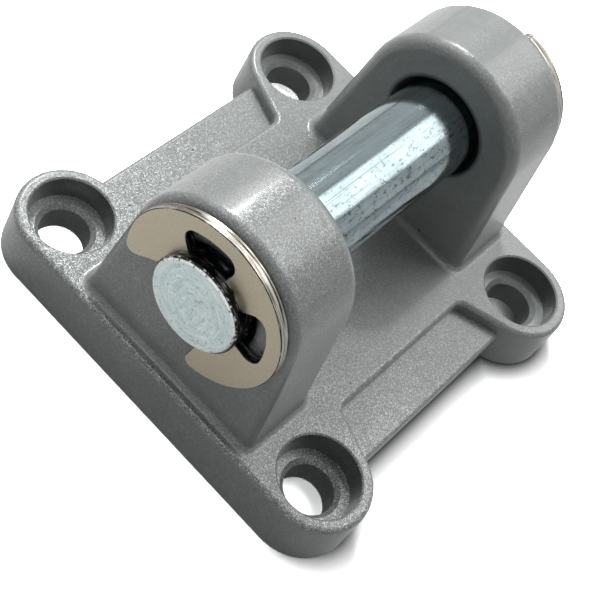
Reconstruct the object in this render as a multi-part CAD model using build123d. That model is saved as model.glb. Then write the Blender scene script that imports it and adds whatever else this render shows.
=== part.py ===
from build123d import *
from math import cos, radians, sin, tan
import os

# Rear clevis mount for a cylinder of 63 mm bore, in millimetres. The origin is the centre of
# the mounting face, +Z points away from the cylinder and the pin lies along X.

# Flange: a cast plate with an ear round each fixing hole
hole_spacing = 56.5
ear_radius = 9.2
flange_height = 10.0
flange_draft = 0.5
plate_width = 62.2
top_edge_round = 1.0
plate_edge_round = 0.8

# Fixing holes, each sunk for a cap head
hole_diameter = 8.5
hole_edge_bevel = 0.8
seat_height = 5.8
seat_diameter = 13.1
seat_wall_lean = 6.5
rim_bevel = 0.25

# Shallow pocket in the top of each Y side, between two ears
pocket_depth = 2.4
pocket_wall_spacing = 45.4
pocket_end_lean = 20.5
pocket_corner_round = 1.5

# Recess in the mounting face, which centres the mount on the cylinder's end
recess_diameter = 45.0
recess_depth = 4.0
recess_mouth_break = 0.5

# Lugs: the two ears of the fork, whose flanks lean outwards towards their feet
slot_width = 40.0
lug_thickness = 15.0
lug_radius = 15.7
pin_height = 32.0
flank_lean = 6.3
lug_outer_round = 1.7
lug_inner_round = 2.2
lug_foot_round = 1.3

# Clevis pin
pin_diameter = 16.0
running_clearance = 0.05
bore_mouth_break = 0.95
pin_end_bevel = 0.5
pin_land = 1.8

# Retaining clips, one in a groove at each end of the pin
clip_thickness = 1.5
clip_diameter = 29.4
clip_float = 0.2
clip_edge_break = 0.12
groove_diameter = 15.0
groove_side_clearance = 0.05
prong_clearance = 0.02
window_diameter = 23.8
window_start = 109.0
window_end = 161.0
window_corner_round = 1.9
mouth_start = 56.0
mouth_flare = 22.0
mouth_tip_round = 1.4
near_clip_turn = -59.5
far_clip_turn = 48.4

# Places that follow from the sizes above
half_length = hole_spacing / 2 + ear_radius
half_slot = slot_width / 2
lug_face = half_slot + lug_thickness
floor_height = flange_height - pocket_depth
pocket_wall = pocket_wall_spacing / 2
bore_radius = pin_diameter / 2 + running_clearance
clip_back = lug_face + clip_float
groove_inner = clip_back - groove_side_clearance
groove_outer = clip_back + clip_thickness + groove_side_clearance
pin_end = groove_outer + pin_land

# How far a cutting shape reaches past the surface that it opens
overrun = 1.0

# Two places nearer than this count as one
same_place = 0.001


def on_level(height):
    """Tests whether an edge lies flat at one height."""
    def test(edge):
        box = edge.bounding_box()
        return abs(box.min.Z - height) < same_place and abs(box.max.Z - height) < same_place
    return test


def ribbed_outline():
    """The flange from above, at its full height: the ends, the ears and the band between."""
    lean = radians(pocket_end_lean)
    ear = hole_spacing / 2
    touch = (ear - ear_radius * cos(lean), ear + ear_radius * sin(lean))
    inner_x = touch[0] - (touch[1] - pocket_wall) * tan(lean)
    with BuildSketch() as outline:
        with BuildLine():
            Line((half_length, 0), (half_length, ear))
            CenterArc((ear, ear), ear_radius, 0, 180 - pocket_end_lean)
            FilletPolyline(
                touch, (inner_x, pocket_wall), (0, pocket_wall), radius=pocket_corner_round
            )
            Line((0, pocket_wall), (0, 0))
            Line((0, 0), (half_length, 0))
        make_face()
        mirror(about=Plane.YZ)
        mirror(about=Plane.XZ)
    return outline.sketch


def flange():
    """The plate: ribs and ears at full height, and a thinner floor under the two pockets."""
    ribs = extrude(ribbed_outline(), flange_height, taper=flange_draft)
    ribs = fillet(ribs.edges().filter_by(on_level(flange_height)), top_edge_round)
    floor = Box(
        hole_spacing, plate_width, floor_height, align=(Align.CENTER, Align.CENTER, Align.MIN)
    )
    rims = floor.edges().filter_by(on_level(floor_height)).filter_by(Axis.X)
    return ribs + fillet(rims, plate_edge_round)


def lug_profile():
    """A lug seen along the pin: a round head that runs tangent into two leaning flanks."""
    lean = radians(flank_lean)
    root_z = (recess_depth + floor_height) / 2
    tangent_y = lug_radius * cos(lean)
    tangent_z = pin_height + lug_radius * sin(lean)
    root_y = tangent_y + (tangent_z - root_z) * tan(lean)
    with BuildSketch(Plane.YZ.offset(half_slot)) as profile:
        with BuildLine():
            head = ThreePointArc(
                (tangent_y, tangent_z), (0, pin_height + lug_radius), (-tangent_y, tangent_z)
            )
            Polyline(head @ 1, (-root_y, root_z), (root_y, root_z), head @ 0)
        make_face()
    return profile.sketch


def lug():
    """The lug on the +X side, reaching down into the flange, with its edges rounded."""
    solid = extrude(lug_profile(), lug_thickness)
    inner = solid.faces().sort_by(Axis.X)[0]
    solid = fillet(inner.edges().sort_by(Axis.Z)[1:], lug_inner_round)
    outer = solid.faces().sort_by(Axis.X)[-1]
    return fillet(outer.edges().sort_by(Axis.Z)[1:], lug_outer_round)


def fixing_hole():
    """The space of one fixing hole: shank, flat seat and the leaning wall round the head."""
    seat_radius = seat_diameter / 2
    rim_radius = seat_radius + (flange_height - seat_height) * tan(radians(seat_wall_lean))
    outside = rim_radius + overrun
    with BuildSketch(Plane.XZ) as section:
        with BuildLine():
            Polyline(
                (0, -overrun),
                (hole_diameter / 2, -overrun),
                (hole_diameter / 2, seat_height),
                (seat_radius, seat_height),
                (rim_radius, flange_height),
                (outside, flange_height),
                (outside, flange_height + overrun),
                (0, flange_height + overrun),
                close=True,
            )
        make_face()
        corners = section.vertices()
        chamfer(corners.sort_by_distance((hole_diameter / 2, seat_height))[0], hole_edge_bevel)
        chamfer(corners.sort_by_distance((rim_radius, flange_height))[0], rim_bevel)
    return revolve(section.sketch, Axis.Z)


def pin_bore():
    """The space of the bore through both lugs, wider at the mouth in each of their faces."""
    mouth = bore_radius + bore_mouth_break
    half = [
        (half_slot, mouth),
        (half_slot + bore_mouth_break, bore_radius),
        (lug_face - bore_mouth_break, bore_radius),
        (lug_face, mouth),
        (lug_face + overrun, mouth),
    ]
    other_half = [(-x, r) for x, r in reversed(half)]
    with BuildSketch(Plane.XZ) as section:
        with BuildLine():
            Polyline(
                (-lug_face - overrun, 0), *other_half, *half, (lug_face + overrun, 0), close=True
            )
        make_face()
    return Pos(0, 0, pin_height) * revolve(section.sketch, Axis.X)


def centring_recess():
    """The space of the round recess in the mounting face, with a broken edge at its mouth."""
    radius = recess_diameter / 2
    mouth = radius + recess_mouth_break
    with BuildSketch(Plane.XZ) as section:
        with BuildLine():
            Polyline(
                (0, -overrun),
                (mouth, -overrun),
                (mouth, 0),
                (radius, recess_mouth_break),
                (radius, recess_depth),
                (0, recess_depth),
                close=True,
            )
        make_face()
    return revolve(section.sketch, Axis.Z)


def clevis_body():
    """The casting: flange and both lugs in one piece, with its machined holes and bore."""
    lugs = lug() + mirror(lug(), about=Plane.YZ)
    body = flange() + lugs
    feet = body.edges().filter_by(on_level(flange_height)).filter_by(
        lambda edge: abs(edge.center().Y) < pocket_wall - top_edge_round
        and half_slot - overrun < abs(edge.center().X) < half_length - top_edge_round
    )
    body = fillet(feet, lug_foot_round)
    for place in GridLocations(hole_spacing, hole_spacing, 2, 2):
        body -= place * fixing_hole()
    body -= pin_bore()
    body -= centring_recess()
    return body


def clevis_pin():
    """The turned pin, with a groove near each end for a clip."""
    radius = pin_diameter / 2
    groove_radius = groove_diameter / 2
    half = [
        (groove_inner, radius),
        (groove_inner, groove_radius),
        (groove_outer, groove_radius),
        (groove_outer, radius),
        (pin_end, radius),
        (pin_end, 0),
    ]
    other_half = [(-x, r) for x, r in reversed(half)]
    with BuildSketch(Plane.XZ) as section:
        with BuildLine():
            Polyline(*other_half, *half, close=True)
        make_face()
        ends = [v for v in section.vertices() if pin_end - abs(v.X) < same_place]
        chamfer([v for v in ends if v.Y > groove_radius], pin_end_bevel)
    return Pos(0, 0, pin_height) * revolve(section.sketch, Axis.X)


def sector(radius, start, end):
    """A slice of a disc between two angles."""
    with BuildSketch() as slice_of_disc:
        with BuildLine():
            arc = CenterArc((0, 0), radius, start, end - start)
            Polyline(arc @ 1, (0, 0), arc @ 0)
        make_face()
    return slice_of_disc.sketch


def clip_outline():
    """A retaining clip with its mouth towards local +X: three prongs grip the pin's groove."""
    grip_radius = groove_diameter / 2 + prong_clearance
    start = radians(mouth_start)
    flare = radians(mouth_flare)
    reach = clip_diameter
    lip = (grip_radius * cos(start), grip_radius * sin(start))
    far = (lip[0] + reach * cos(flare), lip[1] + reach * sin(flare))
    with BuildSketch() as outline:
        Circle(clip_diameter / 2)
        with BuildSketch(mode=Mode.SUBTRACT):
            with BuildLine():
                Polyline((0, 0), lip, far, (far[0], -far[1]), (lip[0], -lip[1]), close=True)
            make_face()
        tips = [v for v in outline.vertices() if v.X > grip_radius]
        fillet(tips, mouth_tip_round)
        for side in (1, -1):
            window = sector(window_diameter / 2, side * window_start, side * window_end)
            add(window, mode=Mode.SUBTRACT)
        corners = [
            v
            for v in outline.vertices()
            if abs(Vector(v.X, v.Y, 0).length - window_diameter / 2) < same_place
        ]
        fillet(corners, window_corner_round)
        Circle(grip_radius, mode=Mode.SUBTRACT)
    return outline.sketch


def retaining_clip(turn):
    """A clip on the +X side, seated in its groove just off the lug's face."""
    plane = Plane((clip_back, 0, pin_height), x_dir=(0, 1, 0), z_dir=(1, 0, 0))
    flat = extrude(Rot(0, 0, turn) * clip_outline(), clip_thickness)
    rims = flat.faces().sort_by(Axis.Z)[-1].edges()
    return plane.location * chamfer(rims, clip_edge_break)


pieces = {
    "clevis_body": clevis_body(),
    "clevis_pin": clevis_pin(),
    "far_retaining_clip": retaining_clip(far_clip_turn),
    "near_retaining_clip": mirror(retaining_clip(near_clip_turn), about=Plane.YZ),
}

os.makedirs("parts", exist_ok=True)
for name, piece in pieces.items():
    export_step(piece, f"parts/{name}.step")
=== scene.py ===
from math import hypot, radians

import bmesh
import bpy
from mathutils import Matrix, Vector


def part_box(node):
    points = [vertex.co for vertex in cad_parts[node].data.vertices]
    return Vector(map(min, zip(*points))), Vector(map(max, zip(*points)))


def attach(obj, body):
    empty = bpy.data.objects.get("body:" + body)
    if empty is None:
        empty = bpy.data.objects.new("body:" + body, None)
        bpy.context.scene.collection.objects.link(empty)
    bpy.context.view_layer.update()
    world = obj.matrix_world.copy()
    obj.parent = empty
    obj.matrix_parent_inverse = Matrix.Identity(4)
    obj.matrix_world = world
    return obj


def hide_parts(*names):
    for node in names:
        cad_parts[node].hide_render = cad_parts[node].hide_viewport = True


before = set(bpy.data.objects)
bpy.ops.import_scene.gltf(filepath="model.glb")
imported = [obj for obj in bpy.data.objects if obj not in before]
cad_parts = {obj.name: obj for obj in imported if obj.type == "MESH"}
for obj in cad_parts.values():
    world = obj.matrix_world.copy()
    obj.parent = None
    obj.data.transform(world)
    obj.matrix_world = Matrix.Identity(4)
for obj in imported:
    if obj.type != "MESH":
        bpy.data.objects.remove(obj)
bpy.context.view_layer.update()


# Clevis body: one aluminium die casting with a flange and two lugs, in a silver paint with bright
# flakes under a smooth clear film. The pin's bore, the mounting face and the recess in it are
# machined afterwards and stay bare.
merge_distance = 1e-6
crease_angle = radians(28)
pin_height = 0.032
bore_mouth_radius = 0.00905
bore_shade_reach = 0.0098
recess_depth = 0.004
recess_mouth_radius = 0.0232
flange_height = 0.010
hole_place = 0.02825
seat_radius = 0.00706

# A face is square to an axis, or slopes towards it, when its normal has at least this share along
# that axis. It is upright when it has at most this share along Z.
square_on = 0.9
sloping = 0.5
upright = 0.6

# The paint: its flakes and pits to the metre, and the stretch along forwards, which points to the
# near end, over which the flakes grow coarser.
flake_density = 7500.0
pit_density = 150.0
forwards = (-0.9, -0.4, 0.0)
coarsening = (-0.02, 0.03)
paint_grey = (0.28, 0.297, 0.295, 1.0)
pit_shade = (0.02, 0.02, 0.02, 1.0)
# Near black, painted round the bore's mouth as shade where the clips stand, and as old grease.
bore_grease_and_shade = (0.012, 0.012, 0.013, 1.0)


def skin_of(node, name, body):
    """A piece with a node's own surface, merged so that its round faces shade smoothly."""
    shell = bmesh.new()
    shell.from_mesh(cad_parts[node].data)
    bmesh.ops.remove_doubles(shell, verts=shell.verts, dist=merge_distance)
    mesh = bpy.data.meshes.new(name)
    shell.to_mesh(mesh)
    shell.free()
    if "custom_normal" in mesh.attributes:
        mesh.attributes.remove(mesh.attributes["custom_normal"])
    mesh.materials.clear()
    mesh.shade_smooth()
    mesh.set_sharp_from_angle(angle=crease_angle)
    piece = bpy.data.objects.new(name, mesh)
    bpy.context.scene.collection.objects.link(piece)
    weighting = piece.modifiers.new("even shading", "WEIGHTED_NORMAL")
    weighting.keep_sharp = True
    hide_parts(node)
    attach(piece, body)
    return piece


def finish(piece, *finishes):
    """Gives each face the first finish whose test it passes, by its centre and its normal."""
    for face in piece.data.polygons:
        passed = [belongs(face.center, face.normal) for material, belongs in finishes]
        face.material_index = passed.index(True)
    for material, belongs in finishes:
        piece.data.materials.append(material)


def everywhere(centre, normal):
    """Passes every face."""
    return True


def from_pin_axis(centre):
    """How far a point lies from the pin's axis."""
    return hypot(centre.y, centre.z - pin_height)


def new_material(name, metallic, roughness):
    """A material with its tree and its shader."""
    material = bpy.data.materials.new(name)
    material.use_nodes = True
    shader = material.node_tree.nodes["Principled BSDF"]
    shader.inputs["Metallic"].default_value = metallic
    shader.inputs["Roughness"].default_value = roughness
    return material, material.node_tree, shader


def shader_node(tree, kind, **sockets):
    """A node whose sockets are linked or set, each named with _ for a space."""
    made = tree.nodes.new("ShaderNode" + kind)
    for name, value in sockets.items():
        put(tree, made.inputs[name.replace("_", " ")], value)
    return made


def put(tree, socket, value):
    """Links a socket to another node's output, or sets its value."""
    if isinstance(value, bpy.types.NodeSocket):
        tree.links.new(value, socket)
    else:
        socket.default_value = value


def object_place(tree, scale=(1, 1, 1), shift=(0, 0, 0), turn=0.0):
    """Object coordinates, stretched, turned about Z and shifted."""
    made = shader_node(
        tree,
        "Mapping",
        Vector=shader_node(tree, "TexCoord").outputs["Object"],
        Scale=scale,
        Rotation=(0.0, 0.0, turn),
        Location=shift,
    )
    return made.outputs["Vector"]


def noise(tree, place, density, detail=2.0, roughness=0.5):
    """Noise from 0 to 1, with so many features to the metre."""
    made = shader_node(
        tree, "TexNoise", Vector=place, Scale=density, Detail=detail, Roughness=roughness
    )
    return made.outputs["Fac"]


def ramp(tree, value, *stops):
    """Blends colours, each given with the value at which it stands."""
    made = shader_node(tree, "ValToRGB", Fac=value)
    marks = made.color_ramp.elements
    while len(marks) < len(stops):
        marks.new(0.5)
    for mark, (position, colour) in zip(marks, stops):
        mark.position = position
        mark.color = (*colour, 1.0)
    return made.outputs["Color"]


def level(tree, value, source, target):
    """Carries a value from one range to another, and no further than its ends."""
    made = shader_node(
        tree,
        "MapRange",
        Value=value,
        From_Min=source[0],
        From_Max=source[1],
        To_Min=target[0],
        To_Max=target[1],
    )
    return made.outputs["Result"]


def blended(tree, first, second, share=1.0, way="MIX"):
    """Two colours blended, by a share, in one of the ways of a Mix node."""
    made = tree.nodes.new("ShaderNodeMix")
    made.data_type = "RGBA"
    made.blend_type = way
    colours = [socket for socket in made.inputs if socket.type == "RGBA"]
    put(tree, made.inputs["Factor"], share)
    put(tree, colours[0], first)
    put(tree, colours[1], second)
    return next(socket for socket in made.outputs if socket.type == "RGBA")


def vector_math(tree, operation, *values):
    """The result of one step of vector arithmetic."""
    made = tree.nodes.new("ShaderNodeVectorMath")
    made.operation = operation
    for socket, value in zip(made.inputs, values):
        put(tree, socket, value)
    return made.outputs["Value" if operation in ("LENGTH", "DOT_PRODUCT") else "Vector"]


def bump(tree, height, distance, **under):
    """A normal that follows a height, whose full range is so many metres."""
    sockets = {name.capitalize(): normal for name, normal in under.items()}
    return shader_node(tree, "Bump", Height=height, Distance=distance, **sockets).outputs["Normal"]


def tilted(tree, directions, amount):
    """The surface's normal, tilted at random by the colour of each cell."""
    lean = vector_math(tree, "MULTIPLY_ADD", directions, (amount,) * 3, (-amount / 2,) * 3)
    surface = shader_node(tree, "NewGeometry").outputs["Normal"]
    return vector_math(tree, "NORMALIZE", vector_math(tree, "ADD", surface, lean))


def silver_paint(name, shade, coarseness):
    """Silver paint with flakes that lie at many angles, fine at the back and coarser in front.

    shade dims it, as painted shade on the walls of the fixing holes, and coarseness is the flakes'
    contrast at both ends."""
    material, tree, shader = new_material(name, metallic=0.0, roughness=0.36)
    place = object_place(tree)
    flakes = shader_node(tree, "TexVoronoi", Vector=place, Scale=flake_density).outputs["Color"]
    pits = shader_node(tree, "TexVoronoi", Vector=place, Scale=pit_density).outputs["Distance"]
    mottle = noise(tree, place, density=260, detail=3, roughness=0.55)
    flake_colour = ramp(
        tree,
        flakes,
        (0.2, (0.12, 0.127, 0.126)),
        (0.58, (0.21, 0.222, 0.221)),
        (0.85, (0.62, 0.655, 0.650)),
    )
    mottle_colour = ramp(
        tree, mottle, (0.3, (0.9 * shade, 0.9 * shade, 0.89 * shade)), (0.7, (shade,) * 3)
    )
    nearness = vector_math(tree, "DOT_PRODUCT", place, forwards)
    contrast = level(tree, nearness, coarsening, coarseness)
    flake_colour = blended(tree, paint_grey, flake_colour, share=contrast)
    painted = blended(tree, flake_colour, mottle_colour, way="MULTIPLY")
    # Painted shade: the lug faces go near black in a ring round the bore's mouth, as under the
    # clips, taken also for old grease.
    from_bore = vector_math(
        tree, "LENGTH", object_place(tree, scale=(0, 1, 1), shift=(0, 0, -pin_height))
    )
    bore_shaded = level(tree, from_bore, (bore_mouth_radius, bore_shade_reach), (1.0, 0.0))
    pitted = level(tree, pits, (0.025, 0.04), (1.0, 0.0))
    colour = blended(tree, painted, bore_grease_and_shade, share=bore_shaded)
    colour = blended(tree, colour, pit_shade, share=pitted)
    tree.links.new(colour, shader.inputs["Base Color"])
    tree.links.new(level(tree, flakes, (0.60, 0.70), (0.0, 0.2)), shader.inputs["Metallic"])
    tree.links.new(tilted(tree, flakes, amount=0.2), shader.inputs["Normal"])
    shader.inputs["Specular IOR Level"].default_value = 0.5
    shader.inputs["Coat Weight"].default_value = 0.35
    shader.inputs["Coat Roughness"].default_value = 0.12
    return material


def bored_metal():
    """Bare bored aluminium, painted near black as the shade inside the bore and as oil, with fine
    rings from the tool.
    """
    material, tree, shader = new_material("oiled_and_shaded_bore", metallic=0.9, roughness=0.4)
    rings = noise(tree, object_place(tree, scale=(1, 0.02, 0.02)), density=6000, detail=2)
    tree.links.new(
        ramp(tree, rings, (0.3, (0.012, 0.013, 0.014)), (0.75, (0.07, 0.074, 0.078))),
        shader.inputs["Base Color"],
    )
    tree.links.new(bump(tree, rings, distance=0.00003), shader.inputs["Normal"])
    return material


def faced_metal():
    """Bare aluminium turned on its face, with rings round the middle of the recess."""
    material, tree, shader = new_material("turned_face", metallic=0.9, roughness=0.35)
    place = object_place(tree, scale=(1, 1, 0))
    turns = shader_node(tree, "CombineXYZ", X=vector_math(tree, "LENGTH", place)).outputs["Vector"]
    rings = noise(tree, turns, density=3000, detail=2)
    stains = noise(tree, place, density=150, detail=4)
    ring_colour = ramp(tree, rings, (0.3, (0.50, 0.51, 0.51)), (0.7, (0.66, 0.67, 0.67)))
    stain_colour = ramp(tree, stains, (0.35, (0.78, 0.78, 0.77)), (0.65, (1.0, 1.0, 1.0)))
    colour = blended(tree, ring_colour, stain_colour, way="MULTIPLY")
    tree.links.new(colour, shader.inputs["Base Color"])
    tree.links.new(bump(tree, rings, distance=0.00003), shader.inputs["Normal"])
    return material


def in_bore(centre, normal):
    """Passes the bore's wall and its broken edges."""
    return from_pin_axis(centre) < bore_mouth_radius and abs(normal.x) < square_on


def on_mounting_face(centre, normal):
    """Passes the mounting face and the recess in it."""
    in_recess = centre.z < recess_depth and hypot(centre.x, centre.y) < recess_mouth_radius
    return in_recess or (normal.z < -square_on and centre.z < recess_depth + merge_distance)


def in_fixing_hole(centre, normal):
    """Passes the upright walls of the four fixing holes and of the seats above them."""
    from_hole = hypot(abs(centre.x) - hole_place, abs(centre.y) - hole_place)
    return from_hole < seat_radius and abs(normal.z) < upright


def on_top_of_flange(centre, normal):
    """Passes the top of the flange and its ears, and the floors of the pockets."""
    return centre.z < flange_height + merge_distance and normal.z > sloping


casting = skin_of("clevis_body", "cast_clevis", "clevis")
finish(
    casting,
    (bored_metal(), in_bore),
    (faced_metal(), on_mounting_face),
    # The walls of the fixing holes are dimmed to half: painted shade, not a thinner coat.
    (silver_paint("shaded_hole_paint", shade=0.5, coarseness=(0.2, 0.5)), in_fixing_hole),
    # The flange's upward faces get stronger flake contrast: painted sparkle where the lamps glint,
    # on the paint's own grain.
    (silver_paint("top_paint_with_painted_sparkle", shade=1.0, coarseness=(0.2, 0.9)), on_top_of_flange),
    (silver_paint("silver_paint", shade=1.0, coarseness=(0.12, 0.3)), everywhere),
)


# Clevis pin: a ground steel bar, zinc plated, with a turned groove near each end. Its end faces
# are turned and matt, their edge is worn bright, and the grooves are painted near black, as old
# grease and as painted shade.
groove_inner = 0.0351
pin_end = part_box("clevis_pin")[1].x
bevel_width = 0.0006
slack = 0.0001
slanting = 0.3
rubbed_rim = (0.0062, 0.0078)
dark_outer_rim = (0.00770, 0.00778)


def plated_bar():
    """Bright zinc on a ground bar, with fine lines along it and short scratches across them."""
    material, tree, shader = new_material("zinc_plated_bar", metallic=1.0, roughness=0.2)
    drawn = noise(
        tree, object_place(tree, scale=(0.012, 1, 1)), density=5200, detail=2, roughness=0.6
    )
    blotches = noise(
        tree, object_place(tree, scale=(0.5, 1, 1)), density=420, detail=4, roughness=0.6
    )
    scuffs = noise(
        tree, object_place(tree, scale=(0.6, 1, 1)), density=1700, detail=5, roughness=0.75
    )
    drawn_colour = ramp(
        tree,
        drawn,
        (0.32, (0.16, 0.198, 0.207)),
        (0.43, (0.24, 0.291, 0.303)),
        (0.68, (0.27, 0.324, 0.336)),
    )
    blotch_colour = ramp(tree, blotches, (0.35, (0.80, 0.81, 0.82)), (0.62, (1.0, 1.0, 1.0)))
    scuff_colour = ramp(tree, scuffs, (0.385, (0.22, 0.22, 0.23)), (0.45, (1.0, 1.0, 1.0)))
    across = vector_math(tree, "DOT_PRODUCT", object_place(tree), (0.0, 1.0, 0.0))
    worn = level(tree, across, (-0.004, 0.001), (0.9, 0.15))
    colour = blended(tree, drawn_colour, blotch_colour, way="MULTIPLY")
    colour = blended(tree, colour, scuff_colour, share=worn, way="MULTIPLY")
    tree.links.new(colour, shader.inputs["Base Color"])
    tree.links.new(level(tree, blotches, (0.35, 0.65), (0.15, 0.09)), shader.inputs["Roughness"])
    lined = bump(tree, drawn, distance=0.000002)
    scratched = bump(tree, scratches(tree), distance=0.00004, normal=lined)
    tree.links.new(bump(tree, scuffs, distance=0.00001, normal=scratched), shader.inputs["Normal"])
    return material


def scratches(tree):
    """Thin scratches that cross one another at slight angles to the bar."""
    found = []
    for turn in (radians(24), radians(-35), radians(70)):
        leaning = object_place(tree, scale=(0.12, 1, 1), turn=turn)
        found.append(noise(tree, leaning, density=1100, detail=1))
    crossing = blended(tree, found[0], found[1], way="DIFFERENCE")
    crossing = blended(tree, crossing, found[2], way="DIFFERENCE")
    return ramp(tree, crossing, (0.0, (1.0, 1.0, 1.0)), (0.03, (0.0, 0.0, 0.0)))


def turned_end():
    """The matt end of the bar, with arcs left by the parting tool and rubbed white at the rim."""
    material, tree, shader = new_material("turned_pin_end", metallic=0.85, roughness=0.5)
    place = object_place(tree, scale=(0, 1, 1), shift=(0, 0, -pin_height))
    radius = vector_math(tree, "LENGTH", place)
    outwards = shader_node(tree, "CombineXYZ", X=radius).outputs["Vector"]
    around = vector_math(tree, "NORMALIZE", place)
    wide = noise(
        tree, vector_math(tree, "MULTIPLY_ADD", outwards, (900,) * 3, around), density=1.4
    )
    fine = noise(
        tree, vector_math(tree, "MULTIPLY_ADD", outwards, (1700,) * 3, around), density=2.2
    )
    wear = noise(tree, object_place(tree), density=2400, detail=4, roughness=0.7)
    arc_colour = ramp(
        tree,
        fine,
        (0.28, (0.60, 0.72, 0.725)),
        (0.48, (0.72, 0.83, 0.825)),
        (0.68, (0.84, 0.93, 0.915)),
    )
    band_colour = ramp(tree, wide, (0.35, (0.86, 0.88, 0.89)), (0.6, (1.0, 1.0, 1.0)))
    pit_colour = ramp(tree, wear, (0.32, (0.35, 0.39, 0.40)), (0.43, (1.0, 1.0, 1.0)))
    colour = blended(tree, arc_colour, band_colour, way="MULTIPLY")
    rim = level(tree, radius, rubbed_rim, (0.0, 0.55))
    colour = blended(tree, colour, (0.72, 0.76, 0.75, 1.0), share=rim)
    colour = blended(tree, colour, pit_colour, way="MULTIPLY")
    tree.links.new(colour, shader.inputs["Base Color"])
    turned = bump(tree, fine, distance=0.00002)
    tree.links.new(bump(tree, wear, distance=0.00005, normal=turned), shader.inputs["Normal"])
    return material


def worn_edge():
    """The edge of the pin's end: a thin bright line, near black further out."""
    material, tree, shader = new_material("worn_pin_edge", metallic=1.0, roughness=0.3)
    radius = vector_math(
        tree, "LENGTH", object_place(tree, scale=(0, 1, 1), shift=(0, 0, -pin_height))
    )
    nicks = noise(tree, object_place(tree), density=1500, detail=3, roughness=0.7)
    bright = ramp(tree, nicks, (0.36, (0.06, 0.06, 0.06)), (0.46, (0.74, 0.78, 0.78)))
    outer_dark = ramp(tree, nicks, (0.54, (0.02, 0.02, 0.02)), (0.66, (0.55, 0.58, 0.58)))
    outer = level(tree, radius, dark_outer_rim, (0.0, 1.0))
    tree.links.new(blended(tree, bright, outer_dark, share=outer), shader.inputs["Base Color"])
    tree.links.new(bump(tree, nicks, distance=0.00012), shader.inputs["Normal"])
    return material


def greased_and_shaded_steel():
    """Steel painted black, as old grease and as painted shade, with scratches that shine."""
    material, tree, shader = new_material("greased_and_shaded_groove", metallic=0.9, roughness=0.3)
    scores = noise(tree, object_place(tree, scale=(1, 0.14, 0.14)), density=3000, detail=3)
    tree.links.new(
        ramp(tree, scores, (0.52, (0.010, 0.011, 0.012)), (0.64, (0.34, 0.37, 0.37))),
        shader.inputs["Base Color"],
    )
    tree.links.new(bump(tree, scores, distance=0.00006), shader.inputs["Normal"])
    return material


def on_pin_end(centre, normal):
    """Passes the two flat ends of the pin."""
    return abs(normal.x) > square_on and abs(centre.x) > pin_end - slack


def on_pin_edge(centre, normal):
    """Passes the bevel round each end."""
    return abs(normal.x) > slanting and abs(centre.x) > pin_end - bevel_width


def past_the_lugs(centre, normal):
    """Passes the grooves and the lands beside them."""
    return abs(centre.x) > groove_inner - slack


pin = skin_of("clevis_pin", "plated_pin", "pin")
greased_and_shaded_groove = greased_and_shaded_steel()
finish(
    pin,
    (turned_end(), on_pin_end),
    (worn_edge(), on_pin_edge),
    (greased_and_shaded_groove, past_the_lugs),
    (plated_bar(), everywhere),
)


# Retaining clips: stamped from spring steel and pushed sideways into the pin's grooves, so that
# three prongs grip it. The faces are dull and warm in tone, and the sheared edge is bright.
window_radius = 0.01205


def rolled_face():
    """The rolled face of spring steel, with a warm oxide tone and a few dark specks."""
    material, tree, shader = new_material("rolled_clip_face", metallic=0.8, roughness=0.42)
    grain = noise(tree, object_place(tree), density=4200, detail=2)
    specks = noise(tree, object_place(tree), density=900, detail=3, roughness=0.7)
    grain_colour = ramp(tree, grain, (0.3, (0.49, 0.437, 0.33)), (0.7, (0.60, 0.537, 0.41)))
    speck_colour = ramp(tree, specks, (0.24, (0.2, 0.2, 0.2)), (0.29, (1.0, 1.0, 1.0)))
    colour = blended(tree, grain_colour, speck_colour, way="MULTIPLY")
    tree.links.new(colour, shader.inputs["Base Color"])
    return material


def sheared_edge():
    """The stamped edge: bright, with fine lines along it."""
    material, tree, shader = new_material("sheared_clip_edge", metallic=1.0, roughness=0.3)
    lines = noise(
        tree, object_place(tree, scale=(1, 0.05, 0.05)), density=2600, detail=3, roughness=0.7
    )
    tree.links.new(
        ramp(
            tree,
            lines,
            (0.38, (0.03, 0.025, 0.02)),
            (0.47, (0.20, 0.17, 0.13)),
            (0.58, (0.42, 0.42, 0.40)),
        ),
        shader.inputs["Base Color"],
    )
    tree.links.new(bump(tree, lines, distance=0.00008), shader.inputs["Normal"])
    return material


def on_clip_face(centre, normal):
    """Passes the flat faces of a clip."""
    return abs(normal.x) > square_on


def on_clip_rim(centre, normal):
    """Passes the broken edge round the front of a clip."""
    return slanting < abs(normal.x) < square_on


def inside_clip(centre, normal):
    """Passes the walls of the windows and the tips of the prongs."""
    return from_pin_axis(centre) < window_radius


# The windows and the front edge of a clip take the pin's near-black groove finish: painted shade,
# with old grease.
clip_finishes = (
    (rolled_face(), on_clip_face),
    (greased_and_shaded_groove, inside_clip),
    (greased_and_shaded_groove, on_clip_rim),
    (sheared_edge(), everywhere),
)
for side in ("near", "far"):
    clip = skin_of(f"{side}_retaining_clip", f"{side}_clip", "clips")
    finish(clip, *clip_finishes)


# Studio: a pale sky and a sheet of paper, evenly lit from below, for a floor. A small key lamp and
# a broad one stand behind on the left, a broad one on the right and a weak one in front. Camera
# and mirror rays see plain white, but for a shadow close beside the flange's near sides: the
# lamps' own shadow, deepened there by painted shadow on the paper.
floor_half_width = 1.5
paper_colour = 0.25
paper_glow = 0.35
mirrored_gain = 0.7
sky_light = 0.04
sky_seen = 0.96

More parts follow.
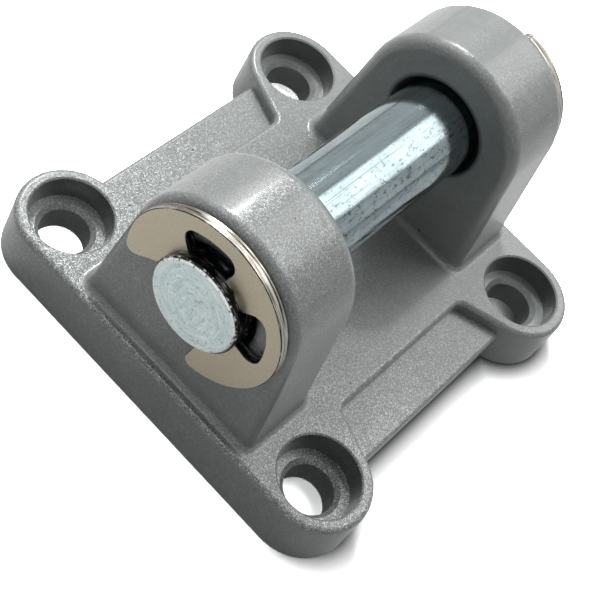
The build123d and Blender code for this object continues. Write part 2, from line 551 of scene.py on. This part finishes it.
# Painted shadow: to the camera the paper is painted darker, down to painted_contact_shade, within
# painted_shadow_reach of the plate or an ear. Leftwards, past lit_side, it counts as further off,
# by the square of lit_side_rise, so the lamps' shadow there is painted out white. In the holes of
# the ears the paper is painted whiter too, least in the right ear's. White paper has white_gain,
# and far_gain more far off.
plate_half_width = 0.0311
ear_radius = 0.0092
leftwards = (-0.7, 0.7, 0.0)
lit_side = (-0.009, 0.012)
lit_side_rise = 0.122
painted_shadow_reach = 0.009
dim_hole = (-0.044, -0.030)
hole_rim = (0.005, 0.006)
far_off = (0.15, 1.5)
painted_contact_shade = -0.16
white_gain = 6.0
far_gain = 40.0


def light_path(tree):
    """Tells what kind of ray has met a surface: each output is 1 for its kind, else 0."""
    return shader_node(tree, "LightPath").outputs


def total(tree, *terms):
    """Adds up values, each given with the factor that it counts by."""
    result = 0.0
    for value, factor in terms:
        step = tree.nodes.new("ShaderNodeMath")
        step.operation = "MULTIPLY_ADD"
        for socket, part in zip(step.inputs, (value, factor, result)):
            put(tree, socket, part)
        result = step.outputs["Value"]
    return result


def pale_floor():
    """Paper seen white by the camera, with the lamps' shadow deepened by painted shadow, and greyer
    in other light.
    """
    material, tree, shader = new_material("pale_floor", metallic=0.0, roughness=1.0)
    rays = light_path(tree)
    place = object_place(tree)
    sideways = vector_math(tree, "DOT_PRODUCT", place, leftwards)
    rise = level(tree, sideways, lit_side, (0.0, lit_side_rise))
    past_shadow = total(tree, (rise, rise))
    corner = vector_math(tree, "ABSOLUTE", place)
    past_plate = vector_math(tree, "SUBTRACT", corner, (hole_place, plate_half_width, 0.0))
    from_plate = vector_math(
        tree, "LENGTH", vector_math(tree, "MAXIMUM", past_plate, (0.0, 0.0, 0.0))
    )
    from_hole = vector_math(
        tree, "LENGTH", vector_math(tree, "SUBTRACT", corner, (hole_place, hole_place, 0.0))
    )
    beside = blended(
        tree,
        total(tree, (1.0, from_plate), (1.0, past_shadow)),
        total(tree, (1.0, from_hole), (1.0, -ear_radius), (1.0, past_shadow)),
        way="DARKEN",
    )
    # Painted shadow and painted white: the camera's gain on the paper, set by place.
    seen = total(
        tree,
        (1.0, level(tree, beside, (0.0, painted_shadow_reach), (painted_contact_shade, white_gain))),
        (
            level(tree, sideways, dim_hole, (0.0, 1.0)),
            level(tree, from_hole, hole_rim, (white_gain, 0.0)),
        ),
        (1.0, level(tree, from_hole, far_off, (0.0, far_gain))),
    )
    whiteness = total(
        tree,
        (rays["Is Camera Ray"], seen),
        (rays["Is Glossy Ray"], mirrored_gain),
        (rays["Is Transmission Ray"], mirrored_gain),
        (1.0, paper_colour),
    )
    paper = shader_node(tree, "BsdfDiffuse", Color=whiteness)
    glow = total(tree, (rays["Is Diffuse Ray"], paper_glow))
    lit_from_below = shader_node(tree, "Emission", Strength=glow)
    lit_paper = tree.nodes.new("ShaderNodeAddShader")
    tree.links.new(paper.outputs["BSDF"], lit_paper.inputs[0])
    tree.links.new(lit_from_below.outputs["Emission"], lit_paper.inputs[1])
    tree.links.new(lit_paper.outputs["Shader"], tree.nodes["Material Output"].inputs["Surface"])
    tree.nodes.remove(shader)
    material.cycles.emission_sampling = "NONE"
    return material


sheet = bmesh.new()
bmesh.ops.create_grid(sheet, x_segments=1, y_segments=1, size=floor_half_width)
floor_mesh = bpy.data.meshes.new("floor")
sheet.to_mesh(floor_mesh)
sheet.free()
floor = bpy.data.objects.new("floor", floor_mesh)
bpy.context.scene.collection.objects.link(floor)
floor_mesh.materials.append(pale_floor())

sky = bpy.data.worlds.new("studio")
bpy.context.scene.world = sky
sky.use_nodes = True
sky_rays = light_path(sky.node_tree)
brightness = total(
    sky.node_tree,
    (sky_rays["Is Camera Ray"], sky_seen),
    (sky_rays["Is Glossy Ray"], sky_seen),
    (sky_rays["Is Transmission Ray"], sky_seen),
    (1.0, sky_light),
)
backdrop = sky.node_tree.nodes["Background"]
backdrop.inputs["Color"].default_value = (1.0, 1.0, 1.0, 1.0)
sky.node_tree.links.new(brightness, backdrop.inputs["Strength"])


def lamp(name, towards, distance, size, power):
    """A square lamp that stands in one direction from the object and faces it."""
    light = bpy.data.lights.new(name, "AREA")
    light.size = size
    light.energy = power
    stand = bpy.data.objects.new(name, light)
    direction = Vector(towards).normalized()
    stand.location = direction * distance
    stand.rotation_euler = direction.to_track_quat("Z", "Y").to_euler()
    bpy.context.scene.collection.objects.link(stand)


lamp("key", towards=(0.43, 0.54, 0.74), distance=0.6, size=0.13, power=2.0)
lamp("left", towards=(0.05, 0.66, 0.75), distance=0.8, size=0.6, power=2.0)
lamp("right", towards=(0.58, -0.2, 0.79), distance=0.8, size=0.57, power=3.0)
lamp("front", towards=(-0.35, 0.16, 0.92), distance=0.6, size=0.1, power=0.12)


# Camera: above the near end of the pin and looking down along it, with a long lens that is
# shifted a little to frame the object.
eye = bpy.data.objects.new("camera", bpy.data.cameras.new("camera"))
eye.location = (-0.157397, -0.038647, 0.210412)
eye.rotation_euler = (radians(35.428), radians(-21.680), radians(-48.333))
eye.data.sensor_width = 36.0
eye.data.lens = 92.908
eye.data.shift_x = -0.05
eye.data.shift_y = -0.15
eye.data.clip_start = 0.01
bpy.context.scene.collection.objects.link(eye)
bpy.context.scene.camera = eye

bpy.context.scene.view_settings.view_transform = "Standard"
